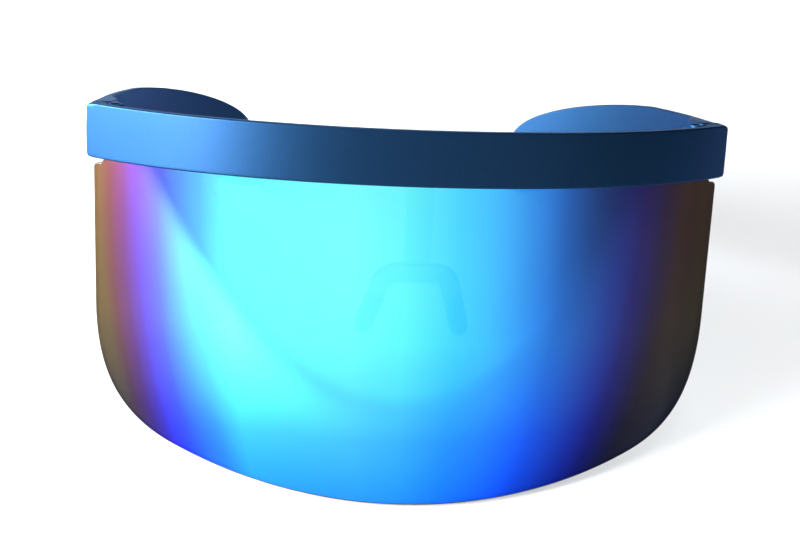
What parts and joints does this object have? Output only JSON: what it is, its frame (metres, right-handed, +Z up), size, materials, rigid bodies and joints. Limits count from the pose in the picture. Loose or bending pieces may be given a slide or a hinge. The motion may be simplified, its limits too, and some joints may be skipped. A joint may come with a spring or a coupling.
{
  "type": "shield sunglasses",
  "caption": "Wraparound shield sunglasses: one tall curved mirror lens hung from a flat-top brow bar, with a forked nose piece and folding curved temples.",
  "frame": {"origin": "centre of the footprint at the height of the table the glasses stand on", "axes": "+X to the right of a viewer who faces the lens, +Y from the lens back to the temple tips, +Z up; the glasses stand open on the lens's lower edge and both temple tips, so the front leans back about 18 degrees"},
  "size_m": [0.16, 0.1742, 0.0865],
  "materials": {
    "bar_paint": "satin metallic blue paint on moulded nylon",
    "mirror_lens": "ice-blue mirror coating on smoke-brown polycarbonate",
    "inner_plastic": "matt dark plastic",
    "clear_plastic": "clear polycarbonate",
    "silicone": "soft translucent silicone",
    "steel": "plain"
  },
  "bodies": {
    "front": {"brow_bar": "bar_paint", "lens": "mirror_lens", "lens_strip": "inner_plastic", "lens_screws": "steel", "nose_bracket": "clear_plastic", "nose_pad_left": "silicone", "nose_pad_right": "silicone", "nose_screws": "steel", "front_leaf_left": "steel", "front_leaf_right": "steel", "front_leaf_screws": "steel", "hinge_screw_left": "steel", "hinge_screw_right": "steel"},
    "left_temple": {"temple_left": "bar_paint", "temple_leaf_left": "steel", "temple_leaf_screws_left": "steel"},
    "right_temple": {"temple_right": "bar_paint", "temple_leaf_right": "steel", "temple_leaf_screws_right": "steel"}
  },
  "joints": [
    {"name": "left_temple_hinge", "type": "hinge", "parent": "front", "child": "left_temple", "pos_m": [-0.07319, -0.02676, 0.06836], "axis": [0, -0.3071, -0.9517], "range_deg": [0, 84]},
    {"name": "right_temple_hinge", "type": "hinge", "parent": "front", "child": "right_temple", "pos_m": [0.07319, -0.02676, 0.06836], "axis": [0, 0.3071, 0.9517], "range_deg": [0, 68]}
  ]
}
